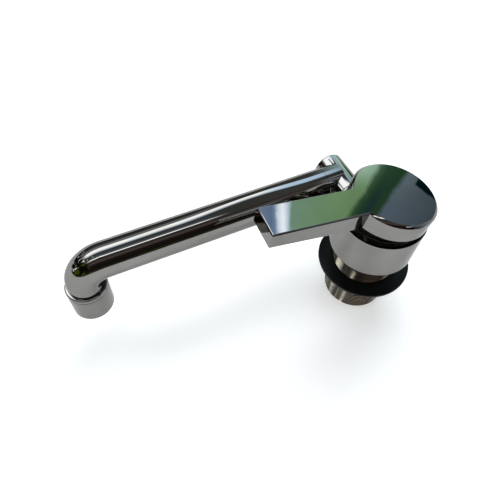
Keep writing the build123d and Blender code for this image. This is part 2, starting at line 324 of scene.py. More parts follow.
    @staticmethod
    def smooth(piece: Piece, angle: float = 35.0, weigh: bool = True) -> None:
        """Shade a piece smooth up to an edge angle, with flat faces kept flat.

        Args:
            piece: the object.
            angle: the angle above which an edge stays sharp, in degrees.
            weigh: True weighs the normals by face area.
        """
        Bench.hold(piece)
        bpy.ops.object.shade_smooth_by_angle(angle=math.radians(angle))
        if weigh:
            Bench.apply(piece, "WEIGHTED_NORMAL", keep_sharp=True)


class Nodes:
    """A short way to write a material's or a world's node tree."""

    def __init__(self, tree: bpy.types.NodeTree, keep: bool = False) -> None:
        """Start with an empty tree, or with what it holds.

        Args:
            tree: the node tree.
            keep: True keeps the nodes that it holds.
        """
        self.tree = tree
        if not keep:
            tree.nodes.clear()

    def add(self, kind: str, **settings: object) -> bpy.types.Node:
        """Add a node and set its properties.

        Args:
            kind: the node type's name.
            **settings: properties of the node.

        Returns:
            The node.
        """
        node = self.tree.nodes.new(kind)
        for key, value in settings.items():
            setattr(node, key, value)
        return node

    def link(self, start: Socket, end: Socket) -> None:
        """Join two sockets."""
        self.tree.links.new(start, end)

    def surface(self) -> bpy.types.Node:
        """Add the shader that makes a surface.

        Returns:
            The Principled shader, joined to the output.
        """
        shader = self.add("ShaderNodeBsdfPrincipled")
        self.link(shader.outputs[0], self.add("ShaderNodeOutputMaterial").inputs["Surface"])
        return shader

    def split(self, vector: Socket) -> Sequence[Socket]:
        """Take a vector apart.

        Args:
            vector: its socket.

        Returns:
            The sockets of X, Y and Z.
        """
        node = self.add("ShaderNodeSeparateXYZ")
        self.link(vector, node.inputs[0])
        return node.outputs

    def math(self, operation: str, *values: Socket | float) -> Socket:
        """Work out one sum, through all the values from the first to the last.

        Args:
            operation: the Math node's operation.
            *values: sockets or numbers.

        Returns:
            The result's socket.
        """
        result = values[0]
        for value in values[1:] or (0.0,):
            node = self.add("ShaderNodeMath", operation=operation)
            for given, entry in zip((result, value), node.inputs):
                if isinstance(given, Socket):
                    self.link(given, entry)
                else:
                    entry.default_value = given
            result = node.outputs[0]
        return result

    def rest(self, share: Socket) -> Socket:
        """What a share leaves of the whole."""
        return self.math("SUBTRACT", 1.0, share)

    def span(self, value: Socket, low: float, high: float) -> Socket:
        """Say how far a value is from low to high, from 0 to 1 with soft ends.

        Args:
            value: the socket to read.
            low: the value that gives 0.
            high: the value that gives 1.

        Returns:
            The result's socket.
        """
        node = self.add("ShaderNodeMapRange", interpolation_type="SMOOTHSTEP")
        self.link(value, node.inputs["Value"])
        node.inputs["From Min"].default_value = low
        node.inputs["From Max"].default_value = high
        return node.outputs["Result"]

    def between(self, value: Socket, rise: Point, fall: Point) -> Socket:
        """Give 1 between two soft edges and 0 outside of them."""
        return self.math("SUBTRACT", self.span(value, *rise), self.span(value, *fall))

    def flat(self, colour: Colour) -> Socket:
        """One even colour.

        Args:
            colour: the colour.

        Returns:
            Its socket.
        """
        node = self.add("ShaderNodeRGB")
        node.outputs[0].default_value = (*colour, 1.0)
        return node.outputs[0]

    def ramp(self, factor: Socket, stops: Stops) -> Socket:
        """A colour ramp with the given stops.

        Args:
            factor: the socket that drives it.
            stops: (position, colour) pairs.

        Returns:
            The colour's socket.
        """
        node = self.add("ShaderNodeValToRGB")
        elements = node.color_ramp.elements
        while len(elements) < len(stops):
            elements.new(0.5)
        for element, (position, colour) in zip(elements, stops):
            element.position = position
            element.color = (*colour, 1.0)
        self.link(factor, node.inputs["Fac"])
        return node.outputs["Color"]

    def mix(self, share: Socket, first: Socket, second: Socket) -> Socket:
        """Mix two colours.

        Args:
            share: how much of the second shows.
            first: the colour at 0.
            second: the colour at 1.

        Returns:
            The colour's socket.
        """
        node = self.add("ShaderNodeMix", data_type="RGBA")
        self.link(share, node.inputs["Factor"])
        self.link(first, node.inputs["A"])
        self.link(second, node.inputs["B"])
        return node.outputs["Result"]

    def noise(self, scale: float, detail: float = 3.0, vector: Socket | None = None) -> Socket:
        """Cloudy noise, on the object's own coordinates unless others are given.

        Args:
            scale: how fine it is, per metre.
            detail: the number of finer layers.
            vector: other coordinates to read.

        Returns:
            The noise's value socket.
        """
        if vector is None:
            vector = self.add("ShaderNodeTexCoord").outputs["Object"]
        node = self.add("ShaderNodeTexNoise")
        node.inputs["Scale"].default_value = scale
        node.inputs["Detail"].default_value = detail
        self.link(vector, node.inputs["Vector"])
        return node.outputs["Fac"]


@dataclass(frozen=True)
class Finish:
    """A finish whose colour and sheen vary a little over the surface.

    The colour goes from dark to light and the roughness from low to high with cloudy noise, whose
    grain is per metre. Clouds say which of its values are the two ends.
    """

    label: str
    dark: Colour
    light: Colour
    grain: float
    rough_low: float
    rough_high: float
    metallic: float = 0.0
    bump: float = 0.0
    bump_grain: float = 2000.0
    bump_depth: float = 0.2 * MM
    ior: float = 1.5
    edge_tint: float = 1.0
    colour_clouds: Point = (0.35, 0.65)
    colour_detail: float = 4.0
    sheen_clouds: Point = (0.3, 0.7)
    sheen_detail: float = 6.0
    sheen_fineness: float = 2.3

    def make(self) -> bpy.types.Material:
        """Build the finish as a material.

        Returns:
            The material.
        """
        material = bpy.data.materials.new(self.label)
        material.use_nodes = True
        nodes = Nodes(material.node_tree)
        shader = nodes.surface()
        shader.inputs["Metallic"].default_value = self.metallic
        shader.inputs["IOR"].default_value = self.ior
        shader.inputs["Specular Tint"].default_value = (self.edge_tint, self.edge_tint, self.edge_tint, 1.0)
        dim, bright = self.colour_clouds
        clouds = nodes.noise(self.grain, self.colour_detail)
        colour = nodes.ramp(clouds, [(dim, self.dark), (bright, self.light)])
        nodes.link(colour, shader.inputs["Base Color"])
        sheen = nodes.add("ShaderNodeMapRange")
        clouds = nodes.noise(self.grain * self.sheen_fineness, self.sheen_detail)
        nodes.link(clouds, sheen.inputs["Value"])
        ends = (*self.sheen_clouds, self.rough_low, self.rough_high)
        for entry, end in zip(("From Min", "From Max", "To Min", "To Max"), ends):
            sheen.inputs[entry].default_value = end
        nodes.link(sheen.outputs["Result"], shader.inputs["Roughness"])
        if self.bump > 0:
            relief = nodes.add("ShaderNodeBump")
            relief.inputs["Strength"].default_value = self.bump
            relief.inputs["Distance"].default_value = self.bump_depth
            nodes.link(nodes.noise(self.bump_grain), relief.inputs["Height"])
            nodes.link(relief.outputs["Normal"], shader.inputs["Normal"])
        return material


@dataclass(frozen=True)
class ThreadFinish(Finish):
    """A finish for a cut thread, with shade painted into its roots: the colour darkens from the bright crests
    down to the roots.
    """

    root: float = 16.60 * MM
    crest: float = 16.95 * MM
    # The dark colour painted into the thread's roots as shade.
    root_shade: Colour = (0.010, 0.008, 0.005)

    def make(self) -> bpy.types.Material:
        """Build the finish as a material.

        Returns:
            The material.
        """
        material = super().make()
        tree = material.node_tree
        nodes = Nodes(tree, keep=True)
        shader = next(node for node in tree.nodes if node.type == "BSDF_PRINCIPLED")
        unshaded = shader.inputs["Base Color"].links[0].from_socket
        # Painted shade: by the distance from the axis, the colour goes from the painted root shade at the
        # roots to the unshaded colour at the crests.
        x, y, _ = nodes.split(nodes.add("ShaderNodeTexCoord").outputs["Object"])
        square = nodes.math("ADD", nodes.math("MULTIPLY", x, x), nodes.math("MULTIPLY", y, y))
        depth = nodes.span(nodes.math("SQRT", square), self.root, self.crest)
        nodes.link(nodes.mix(depth, nodes.flat(self.root_shade), unshaded), shader.inputs["Base Color"])
        return material


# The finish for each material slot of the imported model.
FINISHES = {
    "chrome": Finish(
        "mirror_chrome", (0.216, 0.210, 0.197), (0.246, 0.240, 0.226), 45.0, 0.004, 0.012,
        metallic=1.0, bump=0.004, bump_grain=90.0, edge_tint=0.65,
    ),
    "nickel_thread": ThreadFinish(
        "dull_nickel_thread", (0.30, 0.272, 0.215), (0.42, 0.385, 0.31), 70.0, 0.08, 0.14,
        metallic=1.0, bump=0.03, bump_grain=1500.0,
    ),
    "brass": Finish(
        "machined_brass", (0.62, 0.45, 0.20), (0.78, 0.60, 0.30), 120.0, 0.18, 0.34,
        metallic=1.0, bump=0.1, bump_grain=1800.0,
    ),
    "black_ring": Finish(
        "black_clamp_ring", (0.0008, 0.0010, 0.0016), (0.002, 0.0024, 0.0034), 90.0, 0.36, 0.5,
        bump=0.15, bump_grain=2600.0, ior=1.3,
    ),
    "cover_black": Finish(
        "gloss_black_cover", (0.0010, 0.0010, 0.0012), (0.002, 0.002, 0.0024), 60.0, 0.10, 0.14, ior=1.38,
    ),
    "seal_rubber": Finish(
        "seal_rubber", (0.010, 0.010, 0.010), (0.022, 0.022, 0.022), 150.0, 0.5, 0.7,
        bump=0.2, bump_grain=2400.0,
    ),
    "white_plastic": Finish(
        "moulded_white", (0.70, 0.70, 0.68), (0.80, 0.80, 0.78), 80.0, 0.38, 0.5,
        bump=0.1, bump_grain=2200.0,
    ),
    "jet_plastic": Finish(
        "moulded_grey", (0.52, 0.53, 0.54), (0.62, 0.63, 0.64), 90.0, 0.35, 0.5,
        bump=0.1, bump_grain=2200.0,
    ),
    "stainless": Finish(
        "turned_steel", (0.50, 0.50, 0.50), (0.62, 0.62, 0.62), 260.0, 0.2, 0.34,
        metallic=1.0, bump=0.1, bump_grain=2600.0,
    ),
    "ceramic": Finish(
        "lapped_ceramic", (0.84, 0.83, 0.80), (0.90, 0.89, 0.86), 70.0, 0.10, 0.18,
        bump=0.02, bump_grain=1500.0,
    ),
}


def dress(piece: Piece, material: bpy.types.Material) -> None:
    """Give a piece one material in all its slots."""
    piece.data.materials.clear()
    piece.data.materials.append(material)


class Finisher:
    """The finishes, each made once, and the last step of every piece."""

    def __init__(self) -> None:
        """Build the materials."""
        self.made = {slot: finish.make() for slot, finish in FINISHES.items()}

    def hand_over(self, piece: Piece, body: str, slot: str, node: str) -> None:
        """Dress a piece, and say which body it rides on, its slot and the node that it stands for.

        Args:
            piece: the finished object.
            body: the body that carries it.
            slot: the material slot of the record.
            node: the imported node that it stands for.
        """
        dress(piece, self.made[slot])
        Bench.settle(piece)
        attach(piece, body)
        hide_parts(node)
        Bench.clear()
        LOG.info("%s rides on %s with %d faces", piece.name, body, len(piece.data.polygons))


class PackedPieces:
    """The pieces as they are packed; those that aren't modelled anew show so and only need a finish."""

    def build(self, frame: dict, finisher: Finisher) -> None:
        """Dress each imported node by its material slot.

        Args:
            finisher: the finishes.
        """
        for part in frame["record"]["subparts"]:
            dress(frame["nodes"][part["node"]], finisher.made[part["material_slot"]])
            LOG.info("%s takes %s", part["node"], part["material_slot"])


@dataclass
class TapBody:
    """The round body with its boss for the arm, and the black cover on top."""

    radius: float = 22.25 * MM
    height: float = 23.7 * MM
    edge: float = 0.6 * MM
    floor: float = 3.5 * MM
    chamber: float = 18.7 * MM
    mouth: float = 20.0 * MM
    mouth_seat: float = 19.2 * MM
    plug: float = 14.4 * MM
    plug_depth: float = 9.0 * MM
    seat_recess: float = 0.8 * MM
    seat_recess_radius: float = 17.1 * MM
    arm_bore: float = 6.0 * MM
    boss_reach: float = 24.6 * MM
    inlets: tuple[Point, ...] = ((-6.5 * MM, -4.5 * MM), (6.5 * MM, -4.5 * MM))
    socket: float = 5.0 * MM
    socket_top: float = -1.0 * MM
    passage: float = 2.5 * MM
    cover_radius: float = 19.9 * MM
    cover_bore: float = 18.22 * MM
    cover_opening: float = 15.0 * MM
    cover_top: float = 27.5 * MM
    cover_side: float = 25.3 * MM
    cover_chamfer: float = 0.35 * MM
    cover_ledge: Point = (0.9 * MM, 0.4 * MM)
    cover_shoulder: Point = (3.0 * MM, 0.7 * MM)
    cover_lip: float = 1.1 * MM
    cover_skirt: float = 1.6 * MM
    cover_edge: float = 0.12 * MM

    def shell(self, layout: Layout) -> Piece:
        """The body with its rounded rims, its boss, its chamber and its two inlet sockets.

        Args:
            layout: the tap's main axes.

        Returns:
            The body shell.
        """
        lower = [(self.radius - inward * self.edge, upward * self.edge) for inward, upward in SOFT_EDGE]
        profile = [
            (self.plug, -self.plug_depth), (self.plug, self.seat_recess),
            (self.seat_recess_radius, self.seat_recess), (self.seat_recess_radius, 0),
            *lower, *((radius, self.height - height) for radius, height in reversed(lower)),
            (self.mouth, self.height), (self.mouth, self.mouth_seat),
            (self.chamber, self.mouth_seat), (self.chamber, self.floor),
        ]
        shell = Bench.turn("body_shell_polished", profile, sides=224, ring=False)
        boss = Bench.bar("boss", layout.arm_radius, self.chamber + PAST, self.boss_reach)
        Bench.cut(shell, Bench.face(boss, Facing.ALONG_ARM, layout), "UNION")
        bore = Bench.bar("bore", self.arm_bore, self.chamber - PAST, self.boss_reach + PAST)
        Bench.cut(shell, Bench.face(bore, Facing.ALONG_ARM, layout))
        sockets = (self.socket, -self.plug_depth - PAST, self.socket_top)
        passages = (self.passage, self.socket_top - PAST, self.floor + PAST)
        for x, y in self.inlets:
            for hole in (sockets, passages):
                drill = Bench.bar("drill", *hole, sides=48)
                Bench.settle(drill, (x, y, 0))
                Bench.cut(shell, drill)
        Bench.smooth(shell)
        return shell

    def cover(self) -> Piece:
        """The black ring that closes the gap between the body and the handle.

        Returns:
            The cover ring.
        """
        radius, side, top, opening = self.cover_radius, self.cover_side, self.cover_top, self.cover_opening
        (ledge, ledge_rise), (shoulder, shoulder_drop) = self.cover_ledge, self.cover_shoulder
        profile = [
            (self.cover_bore, self.height), (radius, self.height), (radius, side),
            (radius - self.cover_chamfer, side + self.cover_chamfer), (radius - ledge, side + ledge_rise),
            (radius - shoulder, top - shoulder_drop), (opening, top), (opening, top - self.cover_lip),
            (self.cover_bore, self.height + self.cover_skirt),
        ]
        cover = Bench.turn("cover_ring_gloss", profile, sides=192)
        Bench.soften(cover, self.cover_edge, steps=2, angle=20)
        Bench.smooth(cover, 30)
        return cover

    def build(self, layout: Layout, finisher: Finisher) -> None:
        """Make and hand over the body's pieces."""
        finisher.hand_over(self.shell(layout), "tap_body", "chrome", "body_shell")
        finisher.hand_over(self.cover(), "tap_body", "cover_black", "cover_ring")


@dataclass
class ThreadedShank:
    """The shank with its helical thread and the black ring on it."""

    radius: float = 17.0 * MM
    bore: float = 14.42 * MM
    head: float = 0.78 * MM
    pitch: float = 1.5 * MM
    depth: float = 0.75 * MM
    # Where a turn leaves the root, where its crest starts and ends, as shares of the pitch.
    root_share: float = 0.10
    crest_shares: Point = (0.42, 0.58)
    steps_per_turn: int = 72
    # The helix starts this many turns below the foot and runs on past the head.
    spare_turns: int = 2
    lead_in: float = 1.2 * MM
    lead_out: float = 0.6 * MM
    ring_radius: float = 25.2 * MM
    ring_bore: float = 17.05 * MM
    ring_low: float = -17.6 * MM
    ring_high: float = -15.8 * MM
    ring_lip: float = 19.2 * MM
    ring_lip_slope: float = 0.4 * MM
    ring_lip_height: float = 0.1 * MM
    ring_edge: float = 0.4 * MM
    turn_tolerance: float = 0.01 * MM
    merge_tolerance: float = 0.005 * MM
    # Bisect's own tolerance of 0.1 mm is too coarse for a thread and leaves it open at the cut.
    cut_tolerance: float = 0.0001 * MM

    def tooth(self, start: float) -> Piece:
        """Draw one turn's profile as a line of edges, from root to root.

        Args:
            start: the height of its lower end.

        Returns:
            The line, at the shank's +X side.
        """
        core = self.radius - self.depth
        low, high = self.crest_shares
        corners = [(core, 0), (core, self.root_share), (self.radius, low), (self.radius, high)]
        corners.append((core, 1 - self.root_share))
        Bench.clear()
        bpy.ops.mesh.primitive_grid_add(x_subdivisions=len(corners) - 1, y_subdivisions=1, size=1)
        wire = Bench.name("shank_thread_cut")
        Bench.edit(wire)
        bpy.ops.mesh.delete(type="ONLY_FACE")
        bpy.ops.object.mode_set(mode="OBJECT")
        rows = sorted(wire.data.vertices, key=lambda vertex: (vertex.co.y, vertex.co.x))
        kept = {vertex.index for vertex in rows[:len(corners)]}
        for vertex, (radius, share) in zip(rows, corners):
            vertex.co = (radius, 0, start + share * self.pitch)
        Bench.edit(wire, lambda vertex: vertex.index not in kept)
        bpy.ops.mesh.delete(type="VERT")
        bpy.ops.object.mode_set(mode="OBJECT")
        last = max(wire.data.vertices, key=lambda vertex: vertex.co.z).index
        Bench.edit(wire, lambda vertex: vertex.index == last)
        rise = (0, 0, self.root_share * self.pitch)
        bpy.ops.mesh.extrude_vertices_move(TRANSFORM_OT_translate={"value": rise})
        bpy.ops.object.mode_set(mode="OBJECT")
        return wire

    def thread(self, foot: float) -> Piece:
        """Wind the profile into a helix, cut it to length and bore it.

        Args:
            foot: the height of the shank's lower end.

        Returns:
            The threaded shank.
        """
        turns = int(-foot / self.pitch) + 2 * self.spare_turns
        shank = self.tooth(foot - self.spare_turns * self.pitch)
        Bench.apply(
            shank, "SCREW", axis="Z", screw_offset=self.pitch, iterations=turns, steps=self.steps_per_turn,
            render_steps=self.steps_per_turn, use_merge_vertices=True, merge_threshold=self.turn_tolerance,
        )
        Bench.edit(shank)
        bpy.ops.mesh.remove_doubles(threshold=self.merge_tolerance)
        for height, above in ((self.head, True), (foot, False)):
            bpy.ops.mesh.select_all(action="SELECT")
            bpy.ops.mesh.bisect(
                plane_co=(0, 0, height), plane_no=(0, 0, 1), use_fill=True,
                clear_outer=above, clear_inner=not above, threshold=self.cut_tolerance,
            )
        Bench.face_outwards()
        bpy.ops.object.mode_set(mode="OBJECT")
        past = self.radius + self.lead_out
        lead = [(self.radius - self.lead_in, foot - PAST), (self.radius - self.lead_out, foot)]
        lead += [(past, foot + self.lead_in), (past, self.head + PAST / 2)]
        Bench.cut(shank, Bench.turn("lead", lead, sides=96, ring=False), "INTERSECT")
        Bench.cut(shank, Bench.bar("bore", self.bore, foot - PAST, self.head + PAST, sides=160))
        Bench.smooth(shank, 32, weigh=False)
        return shank

    def ring(self) -> Piece:
        """The flat black ring with soft edges and a raised inner lip.

        Returns:
            The clamp ring.
        """
        low, high, lip = self.ring_low, self.ring_high, self.ring_lip
        face = high - self.ring_lip_height
        profile = [
            (self.ring_bore, low), (self.ring_radius, low), (self.ring_radius, face),
            (lip + self.ring_lip_slope, face), (lip, high), (self.ring_bore, high),
        ]
        ring = Bench.turn("clamp_ring_black", profile, sides=192)
        Bench.soften(ring, self.ring_edge, angle=45)
        Bench.smooth(ring)
        return ring

    def build(self, layout: Layout, finisher: Finisher) -> None:
        """Make and hand over the shank and its ring."""
        finisher.hand_over(self.thread(layout.shank_foot), "tap_body", "nickel_thread", "threaded_shank")
        finisher.hand_over(self.ring(), "deck_ring", "black_ring", "clamp_ring")


@dataclass
class LeverHandle:
    """The handle: a round cap and a flat lever in one casting, drawn part way up its lift."""

    radius: float = 21.3 * MM
    bottom: float = 27.2 * MM
    top: float = 37.35 * MM
    reach: float = 69.8 * MM
    half_width: float = 8.15 * MM
    tip_bottom: float = 29.15 * MM
    root: float = 28.6 * MM
    recess: float = 19.8 * MM
    recess_top: float = 33.0 * MM
    hub: float = 7.0 * MM
    hub_bottom: float = 29.6 * MM
    rib_half_width: float = 4.0 * MM
    socket: float = 7.1 * MM
    socket_top: float = 34.4 * MM
    screw_radius: float = 2.02 * MM
    screw_height: float = 31.4 * MM
    far_round: float = 2.5 * MM
    near_round: float = 0.9 * MM
    rim_round: float = 1.4 * MM
    lever_round: float = 0.7 * MM
    tip_round: float = 0.35 * MM
    round_steps: int = 5
    # The bevel's profile, a little flatter than an arc.
    round_shape: float = 0.3
    corner_steps: int = 8
    side_steps: int = 12
    rim_steps: int = 176
    # An edge is on the top, at the tip or on the cap's rim when it lies this close to it.
    near_plane: float = 0.001 * MM
    near_rim: float = 0.05 * MM

    def corner(self, side: int, radius: float) -> list[Point]:
        """The hollow rounding where the lever leaves the cap.

        Args:
            side: 1 for the +X side and -1 for the -X side.
            radius: the rounding's radius.

        Returns:
            Points from the lever to the cap.
        """
        x = self.half_width + radius
        y = -math.sqrt((self.radius + radius) ** 2 - x**2)
        sweep = math.atan2(-y, -x) - math.pi
        return [(side * px, py) for px, py in arc((x, y), radius, math.pi, sweep, self.corner_steps)]

    def outline(self) -> list[Point]:
        """The plan of the handle, once round.

        Returns:
            The points, from the tip's +X corner round the cap to its -X corner.
        """
        near = self.corner(1, self.near_round)
        far = self.corner(-1, self.far_round)
        start, end = (math.atan2(points[-1][1], points[-1][0]) for points in (near, far))
        rim = arc((0, 0), self.radius, start, (end - start) % (2 * math.pi), self.rim_steps)[1:-1]
        tip, steps = -self.reach, self.side_steps
        near_y, far_y = near[0][1], far[0][1]
        near_side = [(self.half_width, tip + (near_y - tip) * i / steps) for i in range(steps)]
        far_side = [(-self.half_width, far_y + (tip - far_y) * i / steps) for i in range(1, steps + 1)]
        return near_side + near + rim + far[::-1] + far_side

    def casting(self) -> Piece:
        """Raise the plan, slope the lever's underside and round the edges.

        Returns:
            The handle, pointing towards -Y.
        """
        outline = self.outline()
        Bench.clear()
        bpy.ops.mesh.primitive_circle_add(vertices=len(outline), radius=self.radius, fill_type="NGON")
        handle = Bench.name("lever_handle")
        for index, (x, y) in zip(handle.data.polygons[0].vertices, outline):
            handle.data.vertices[index].co = (x, y, self.bottom)
        Bench.edit(handle)
        bpy.ops.mesh.extrude_region_move(TRANSFORM_OT_translate={"value": (0, 0, self.top - self.bottom)})
        Bench.face_outwards()
        slope = (self.tip_bottom - self.bottom) / (self.reach - self.root)
        bpy.ops.mesh.bisect(
            plane_co=(0, -self.root, self.bottom), plane_no=Vector((0, slope, 1)).normalized(),
            use_fill=True, clear_inner=True,
        )
        Bench.face_outwards()
        bpy.ops.object.mode_set(mode="OBJECT")
        self.round_edges(handle)
        return handle

    def edge_round(self, ends: Sequence[Vector]) -> float:
        """Say how widely an edge is rounded.

        Args:
            ends: the places of its two ends.

        Returns:
            The rounding, in metres; 0 leaves the edge sharp.
        """
        if all(abs(end.z - self.top) < self.near_plane for end in ends):
            middle = (ends[0] + ends[1]) / 2
            on_cap = math.hypot(middle.x, middle.y) < self.radius + self.near_rim
            return self.rim_round if on_cap else self.lever_round
        if all(abs(end.y + self.reach) < self.near_plane for end in ends):
            return self.tip_round
        return 0.0

    def round_edges(self, handle: Piece) -> None:
        """Round the cap's rim widely and the lever's edges finely.

        Args:
            handle: the handle.
        """
        mesh = handle.data
        weights = mesh.attributes.new("bevel_weight_edge", "FLOAT", "EDGE")
        for edge in mesh.edges:
            ends = [mesh.vertices[index].co for index in edge.vertices]
            weights.data[edge.index].value = self.edge_round(ends) / self.rim_round
        Bench.apply(
            handle, "BEVEL", limit_method="WEIGHT", width=self.rim_round, segments=self.round_steps,
            profile=self.round_shape, use_clamp_overlap=False,
        )

    def hollow(self, handle: Piece) -> None:
        """Hollow the underside round the hub and make the holes for stem and screw.

        Args:
            handle: the handle, pointing towards -Y.
        """
        ceiling = self.recess_top + PAST
        cavity = Bench.bar("cavity", self.recess, self.bottom - PAST, self.recess_top, sides=144)
        Bench.cut(cavity, Bench.bar("hub", self.hub, self.hub_bottom, ceiling, sides=64))
        low = (-self.recess - PAST, -self.rib_half_width, self.hub_bottom)
        Bench.cut(cavity, Bench.block("rib", low, (PAST, self.rib_half_width, ceiling)))
        Bench.cut(handle, cavity)
        half = self.socket / 2
        low = (-half, -half, self.bottom - PAST)
        Bench.cut(handle, Bench.block("stem_socket", low, (half, half, self.socket_top)))
        hole = Bench.bar("screw_hole", self.screw_radius, 0, self.radius + 2 * PAST, sides=40)
        Bench.settle(hole, (0, 0, self.screw_height), (0, -QUARTER, 0))
        Bench.cut(handle, hole)

    def build(self, layout: Layout, finisher: Finisher) -> None:
        """Make the handle, lift and turn it to where it is drawn, and hand it over.

        Args:
            layout: the tap's main axes.
            finisher: the finishes.
        """
        handle = self.casting()
        self.hollow(handle)
        pivot = Vector((0, 0, layout.pivot_height))
        place = pivot - Matrix.Rotation(-layout.handle_lift, 3, "X") @ pivot
        Bench.settle(handle, place, (-layout.handle_lift, 0, 0))
        Bench.settle(handle, turn=(0, 0, layout.handle_turn))
        Bench.smooth(handle, 32)
        finisher.hand_over(handle, "lever", "chrome", "handle")


@dataclass
class SwivelArm:
    """The arm's turning sleeve with its stub for the spout tube and its end plug."""

    start: float = 25.4 * MM
    reach: float = 49.0 * MM
    start_edge: float = 0.15 * MM
    rim: float = 0.9 * MM
    rim_steps: int = 5
    bore: float = 6.05 * MM
    chamber_start: float = 44.7 * MM
    # The bore and the chamber overlap by this much, so that no skin is left between them.
    overlap: float = 0.01 * MM
    plug_radius: float = 6.9 * MM
    plug_depth: float = 2.4 * MM
    plug_gap: float = 0.03 * MM
    plug_edge: float = 0.2 * MM
    slot_length: float = 9.0 * MM
    slot_width: float = 1.2 * MM
    slot_depth: float = 1.0 * MM
    stub_edge: float = 0.45 * MM
    spigot_radius: float = 7.98 * MM
    spigot_length: float = 6.0 * MM
    water_bore: float = 4.2 * MM
    # The stub starts just off the arm's axis, where its corners meet none of the sleeve's.
    stub_start: float = 0.05 * MM

    def stub(self, layout: Layout) -> Piece:
        """The round stub that carries the tube, with its thinner spigot.

        Args:
            layout: the tap's main axes.

        Returns:
            The stub.
        """
        radius, back, edge, seam = layout.tube_radius, self.stub_start, self.stub_edge, layout.seam_edge
        front = layout.tube_start
        profile = [
            (radius - edge, back), (radius, back + edge), (radius, front - seam), (radius - seam, front),
            (self.spigot_radius, front), (self.spigot_radius, front + self.spigot_length),
        ]
        return Bench.face(Bench.turn("stub", profile, ring=False), Facing.ALONG_SPOUT, layout)

    def sleeve(self, layout: Layout) -> Piece:
        """The sleeve and its stub, joined, rounded and bored.

        Args:
            layout: the tap's main axes.

        Returns:
            The swivel head.
        """
        radius, edge, rim = layout.arm_radius, self.start_edge, self.rim
        profile = [(radius - edge, self.start), (radius, self.start + edge), (radius, self.reach - rim)]
        profile += arc((radius - rim, self.reach - rim), rim, 0, QUARTER, self.rim_steps)[1:]
        head = Bench.turn("swivel_head_polished", profile, ring=False)
        Bench.face(head, Facing.ALONG_ARM, layout)
        Bench.cut(head, self.stub(layout), "UNION")
        water_end = layout.tube_start + self.spigot_length + PAST
        for facing, radius, low, high, sides in (
            (Facing.ALONG_ARM, self.bore, self.start - PAST, self.chamber_start + self.overlap, 96),
            (Facing.ALONG_ARM, self.plug_radius, self.chamber_start, self.reach + PAST, 96),
            (Facing.ALONG_SPOUT, self.water_bore, 0, water_end, 64),
        ):
            Bench.cut(head, Bench.face(Bench.bar("drill", radius, low, high, sides), facing, layout))
        Bench.smooth(head)
        return head

    def plug(self, layout: Layout) -> Piece:
        """The slotted plug in the end of the arm.

        Args:
            layout: the tap's main axes.

        Returns:
            The plug.
        """
        end = self.reach
        radius = self.plug_radius - self.plug_gap
        plug = Bench.bar("arm_end_plug", radius, end - self.plug_depth, end, sides=96)
        Bench.soften(plug, self.plug_edge, steps=2)
        x, y = self.slot_width / 2, self.slot_length / 2
        Bench.cut(plug, Bench.block("slot", (-x, -y, end - self.slot_depth), (x, y, end + PAST)))
        Bench.smooth(plug)
        return Bench.face(plug, Facing.ALONG_ARM, layout)

    def build(self, layout: Layout, finisher: Finisher) -> None:
        """Make and hand over the arm's pieces."""
        finisher.hand_over(self.sleeve(layout), "spout", "chrome", "swivel_head")
        finisher.hand_over(self.plug(layout), "spout", "chrome", "arm_end_cap")


@dataclass
class SpoutTube:
    """The long tube with one bend at its end."""

    wall: float = 1.2 * MM
    bend: float = 12.2 * MM
    end: float = -7.6 * MM
    sides: int = 160
    run_steps: int = 24
    bend_steps: int = 40
    merge_tolerance: float = 0.002 * MM

    def tube(self, layout: Layout) -> Piece:
        """Draw the tube out, spin its bend, draw it down and give it its wall.

        Args:
            layout: the tap's main axes.

        Returns:
            The tube.
        """
        x, z, edge = layout.spout_x, layout.arm_height, layout.seam_edge
        radius, start = layout.tube_radius, layout.tube_start
        Bench.clear()
        bpy.ops.mesh.primitive_circle_add(
            vertices=self.sides, radius=radius - edge, rotation=(QUARTER, 0, 0), location=(x, -start, z),
        )
        tube = Bench.name("spout_tube_polished")
        Bench.settle(tube)
        Bench.edit(tube)
        Bench.stretch((0, -edge, 0))
        scale = radius / (radius - edge)
        bpy.ops.transform.resize(value=(scale, 1, scale), center_override=(x, -start - edge, z))
        bend_start = layout.spout_reach - self.bend
        run = bend_start - start - edge
        for _ in range(self.run_steps):
            Bench.stretch((0, -run / self.run_steps, 0))
        centre = (x, -bend_start, z - self.bend)
        bpy.ops.mesh.spin(steps=self.bend_steps, angle=-QUARTER, center=centre, axis=(1, 0, 0))
        # The spin leaves its last loop a hair off the centre's height, so the loop is measured.
        bpy.ops.object.mode_set(mode="OBJECT")
        heights = [vertex.co.z for vertex in tube.data.vertices if vertex.select]
        bpy.ops.object.mode_set(mode="EDIT")
        Bench.stretch((0, 0, self.end - sum(heights) / len(heights)))
        bpy.ops.mesh.select_all(action="SELECT")
        bpy.ops.mesh.remove_doubles(threshold=self.merge_tolerance)
        bpy.ops.mesh.normals_make_consistent(inside=False)
        bpy.ops.object.mode_set(mode="OBJECT")
        Bench.apply(tube, "SOLIDIFY", thickness=self.wall, offset=-1)
        Bench.smooth(tube, 40, weigh=False)
        return tube

    def build(self, layout: Layout, finisher: Finisher) -> None:
        """Make and hand over the tube."""
        finisher.hand_over(self.tube(layout), "spout", "chrome", "spout_tube")


